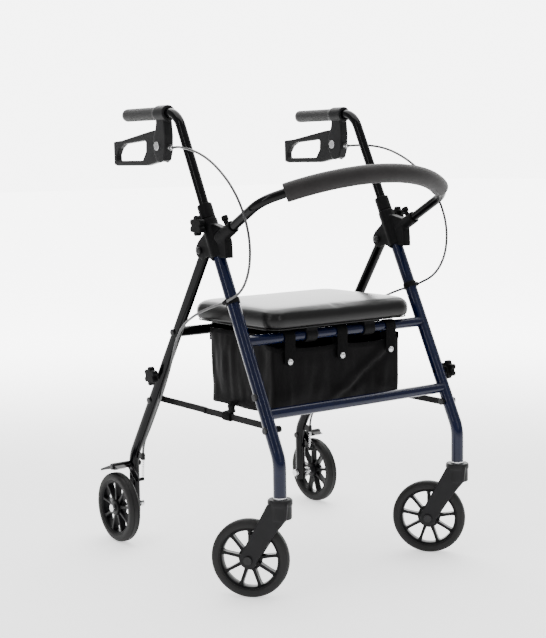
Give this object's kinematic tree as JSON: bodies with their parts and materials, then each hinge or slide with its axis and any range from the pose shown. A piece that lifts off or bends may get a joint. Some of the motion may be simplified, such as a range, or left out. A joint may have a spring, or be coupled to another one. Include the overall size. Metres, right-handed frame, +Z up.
{
  "type": "rollator walker",
  "caption": "Folding wheeled walker with swivelling front casters, hand brakes, padded flip-up seat, under-seat bag and curved backrest.",
  "frame": {"origin": "on the floor under the middle of the overall box", "axes": "+Z up; -Y is the caster end, +Y the end where the user walks; X runs across"},
  "size_m": [0.6158, 0.6744, 0.9418],
  "materials": {
    "navy_paint": "gloss",
    "black_paint": "gloss",
    "black_plastic": "matte",
    "rim_plastic": "satin",
    "tyre_rubber": "matte",
    "foam": "matte",
    "seat_vinyl": "satin",
    "seat_board_black": "matte",
    "bag_nylon": "matte",
    "zinc_steel": "satin",
    "black_bolt": "satin",
    "cable_sheath": "satin"
  },
  "bodies": {
    "front_frame": {"front_leg_left": "navy_paint", "front_leg_right": "navy_paint", "upper_crossbar": "navy_paint", "lower_crossbar": "navy_paint", "frame_bracket_left": "black_plastic", "frame_bracket_right": "black_plastic", "leg_collars": "black_plastic", "caster_stems": "zinc_steel", "front_frame_bolts": "black_bolt", "bag": "bag_nylon", "bag_straps": "bag_nylon", "brake_cable_left": "cable_sheath", "brake_cable_right": "cable_sheath"},
    "rear_frame": {"rear_leg_left": "black_paint", "rear_leg_right": "black_paint", "rear_crossbar": "black_paint", "cable_stops": "black_paint", "rear_axles": "zinc_steel", "rear_frame_bolts": "black_bolt", "brake_springs": "zinc_steel"},
    "seat": {"seat_board": "seat_board_black", "seat_pad": "seat_vinyl", "seat_hinges": "black_plastic"},
    "backrest": {"backrest_tube": "black_paint", "backrest_pad": "foam"},
    "brace_front_left": {"brace_front_left": "black_paint"},
    "brace_rear_left": {"brace_rear_left": "black_paint"},
    "caster_left": {"caster_fork_left": "black_plastic", "caster_axle_left": "black_bolt"},
    "front_wheel_left": {"front_rim_left": "rim_plastic", "front_tyre_left": "tyre_rubber"},
    "rear_wheel_left": {"rear_rim_left": "rim_plastic", "rear_tyre_left": "tyre_rubber"},
    "brake_shoe_left": {"brake_shoe_left": "black_paint"},
    "handle_left": {"handle_tube_left": "black_paint", "grip_left": "foam", "brake_housing_left": "black_plastic", "lever_pin_left": "zinc_steel"},
    "brake_lever_left": {"brake_lever_left": "black_plastic"},
    "height_knob_left": {"height_knob_left": "black_plastic"},
    "leg_knob_rear_left": {"leg_knob_rear_left": "black_plastic"},
    "backrest_button_left": {"backrest_button_left": "black_plastic"},
    "brace_front_right": {"brace_front_right": "black_paint"},
    "brace_rear_right": {"brace_rear_right": "black_paint"},
    "caster_right": {"caster_fork_right": "black_plastic", "caster_axle_right": "black_bolt"},
    "front_wheel_right": {"front_rim_right": "rim_plastic", "front_tyre_right": "tyre_rubber"},
    "rear_wheel_right": {"rear_rim_right": "rim_plastic", "rear_tyre_right": "tyre_rubber"},
    "brake_shoe_right": {"brake_shoe_right": "black_paint"},
    "handle_right": {"handle_tube_right": "black_paint", "grip_right": "foam", "brake_housing_right": "black_plastic", "lever_pin_right": "zinc_steel"},
    "brake_lever_right": {"brake_lever_right": "black_plastic"},
    "height_knob_right": {"height_knob_right": "black_plastic"},
    "leg_knob_rear_right": {"leg_knob_rear_right": "black_plastic"},
    "backrest_button_right": {"backrest_button_right": "black_plastic"},
    "leg_knob_front_right": {"leg_knob_front_right": "black_plastic"}
  },
  "joints": [
    {"name": "frame_fold", "type": "hinge", "parent": "front_frame", "child": "rear_frame", "pos_m": [0.01548, -0.04378, 0.652], "axis": [-1, 0, 0], "range_deg": [0, 32], "deforming": ["brake_cable_left", "brake_cable_right", "bag_straps"]},
    {"name": "seat_flip", "type": "hinge", "parent": "front_frame", "child": "seat", "pos_m": [0.01548, -0.16829, 0.4817], "axis": [1, 0, 0], "range_deg": [0, 80]},
    {"name": "backrest_lift_off", "type": "slide", "parent": "front_frame", "child": "backrest", "axis": [0, -0.8763, 0.4818], "range_m": [0, 0.06]},
    {"name": "brace_front_fold_left", "type": "hinge", "parent": "front_frame", "child": "brace_front_left", "pos_m": [-0.19802, -0.24807, 0.321], "axis": [-1, 0, 0], "range_deg": [-25.71, 0]},
    {"name": "brace_rear_fold_left", "type": "hinge", "parent": "rear_frame", "child": "brace_rear_left", "pos_m": [-0.19802, 0.17134, 0.322], "axis": [-1, 0, 0], "range_deg": [0, 61.95]},
    {"name": "caster_swivel_left", "type": "hinge", "parent": "front_frame", "child": "caster_left", "pos_m": [-0.21602, -0.27502, 0.175], "axis": [0, 0, 1], "continuous": true},
    {"name": "front_wheel_spin_left", "type": "hinge", "parent": "caster_left", "child": "front_wheel_left", "pos_m": [-0.25346, -0.22878, 0.0762], "axis": [-0.7771, -0.6293, 0], "continuous": true},
    {"name": "rear_wheel_spin_left", "type": "hinge", "parent": "rear_frame", "child": "rear_wheel_left", "pos_m": [-0.25792, 0.26098, 0.0762], "axis": [1, 0, 0], "continuous": true},
    {"name": "brake_shoe_press_left", "type": "hinge", "parent": "rear_frame", "child": "brake_shoe_left", "pos_m": [-0.24652, 0.26098, 0.168], "axis": [-1, 0, 0], "range_deg": [0, 9], "stiffness_Nm_per_rad": 0.5, "springref_deg": -11.46, "deforming": ["brake_springs"]},
    {"name": "handle_height_left", "type": "slide", "parent": "front_frame", "child": "handle_left", "axis": [0, 0.4446, 0.8957], "range_m": [-0.15, 0]},
    {"name": "brake_squeeze_left", "type": "hinge", "parent": "handle_left", "child": "brake_lever_left", "pos_m": [-0.21602, 0.11498, 0.859], "axis": [1, 0, 0], "range_deg": [0, 10], "stiffness_Nm_per_rad": 1.5, "springref_deg": -11.46},
    {"name": "height_knob_turn_left", "type": "hinge", "parent": "front_frame", "child": "height_knob_left", "pos_m": [-0.23952, -0.05894, 0.702], "axis": [1, 0, 0], "range_deg": [-360, 0]},
    {"name": "leg_knob_turn_rear_left", "type": "hinge", "parent": "rear_frame", "child": "leg_knob_rear_left", "pos_m": [-0.23952, 0.13288, 0.381], "axis": [1, 0, 0], "range_deg": [-360, 0]},
    {"name": "backrest_button_pull_left", "type": "slide", "parent": "front_frame", "child": "backrest_button_left", "axis": [0, 0.4818, 0.8763], "range_m": [0, 0.006], "stiffness_N_per_m": 400, "springref_m": -0.003},
    {"name": "brace_front_fold_right", "type": "hinge", "parent": "front_frame", "child": "brace_front_right", "pos_m": [0.22898, -0.24807, 0.321], "axis": [-1, 0, 0], "range_deg": [-25.71, 0]},
    {"name": "brace_rear_fold_right", "type": "hinge", "parent": "rear_frame", "child": "brace_rear_right", "pos_m": [0.22898, 0.17134, 0.322], "axis": [-1, 0, 0], "range_deg": [0, 61.95]},
    {"name": "caster_swivel_right", "type": "hinge", "parent": "front_frame", "child": "caster_right", "pos_m": [0.24698, -0.27502, 0.175], "axis": [0, 0, 1], "continuous": true},
    {"name": "front_wheel_spin_right", "type": "hinge", "parent": "caster_right", "child": "front_wheel_right", "pos_m": [0.20953, -0.22878, 0.0762], "axis": [-0.7771, -0.6293, 0], "continuous": true},
    {"name": "rear_wheel_spin_right", "type": "hinge", "parent": "rear_frame", "child": "rear_wheel_right", "pos_m": [0.28888, 0.26098, 0.0762], "axis": [1, 0, 0], "continuous": true},
    {"name": "brake_shoe_press_right", "type": "hinge", "parent": "rear_frame", "child": "brake_shoe_right", "pos_m": [0.27748, 0.26098, 0.168], "axis": [-1, 0, 0], "range_deg": [0, 9], "stiffness_Nm_per_rad": 0.5, "springref_deg": -11.46, "deforming": ["brake_springs"]},
    {"name": "handle_height_right", "type": "slide", "parent": "front_frame", "child": "handle_right", "axis": [0, 0.4446, 0.8957], "range_m": [-0.15, 0]},
    {"name": "brake_squeeze_right", "type": "hinge", "parent": "handle_right", "child": "brake_lever_right", "pos_m": [0.24698, 0.11498, 0.859], "axis": [1, 0, 0], "range_deg": [0, 10], "stiffness_Nm_per_rad": 1.5, "springref_deg": -11.46},
    {"name": "height_knob_turn_right", "type": "hinge", "parent": "front_frame", "child": "height_knob_right", "pos_m": [0.27048, -0.05894, 0.702], "axis": [1, 0, 0], "range_deg": [-360, 0]},
    {"name": "leg_knob_turn_rear_right", "type": "hinge", "parent": "rear_frame", "child": "leg_knob_rear_right", "pos_m": [0.27048, 0.13288, 0.381], "axis": [1, 0, 0], "range_deg": [-360, 0]},
    {"name": "backrest_button_pull_right", "type": "slide", "parent": "front_frame", "child": "backrest_button_right", "axis": [0, 0.4818, 0.8763], "range_m": [0, 0.006], "stiffness_N_per_m": 400, "springref_m": -0.003},
    {"name": "leg_knob_turn_front_right", "type": "hinge", "parent": "front_frame", "child": "leg_knob_front_right", "pos_m": [0.27048, -0.21828, 0.381], "axis": [1, 0, 0], "range_deg": [-360, 0]}
  ],
  "couplings": [
    {"joint": "brace_front_fold_left", "follows": "frame_fold", "ratio": -0.80338},
    {"joint": "brace_rear_fold_left", "follows": "frame_fold", "ratio": 1.9358},
    {"joint": "brake_shoe_press_left", "follows": "brake_squeeze_left", "ratio": 0.9},
    {"joint": "brace_front_fold_right", "follows": "frame_fold", "ratio": -0.80338},
    {"joint": "brace_rear_fold_right", "follows": "frame_fold", "ratio": 1.9358},
    {"joint": "brake_shoe_press_right", "follows": "brake_squeeze_right", "ratio": 0.9}
  ]
}
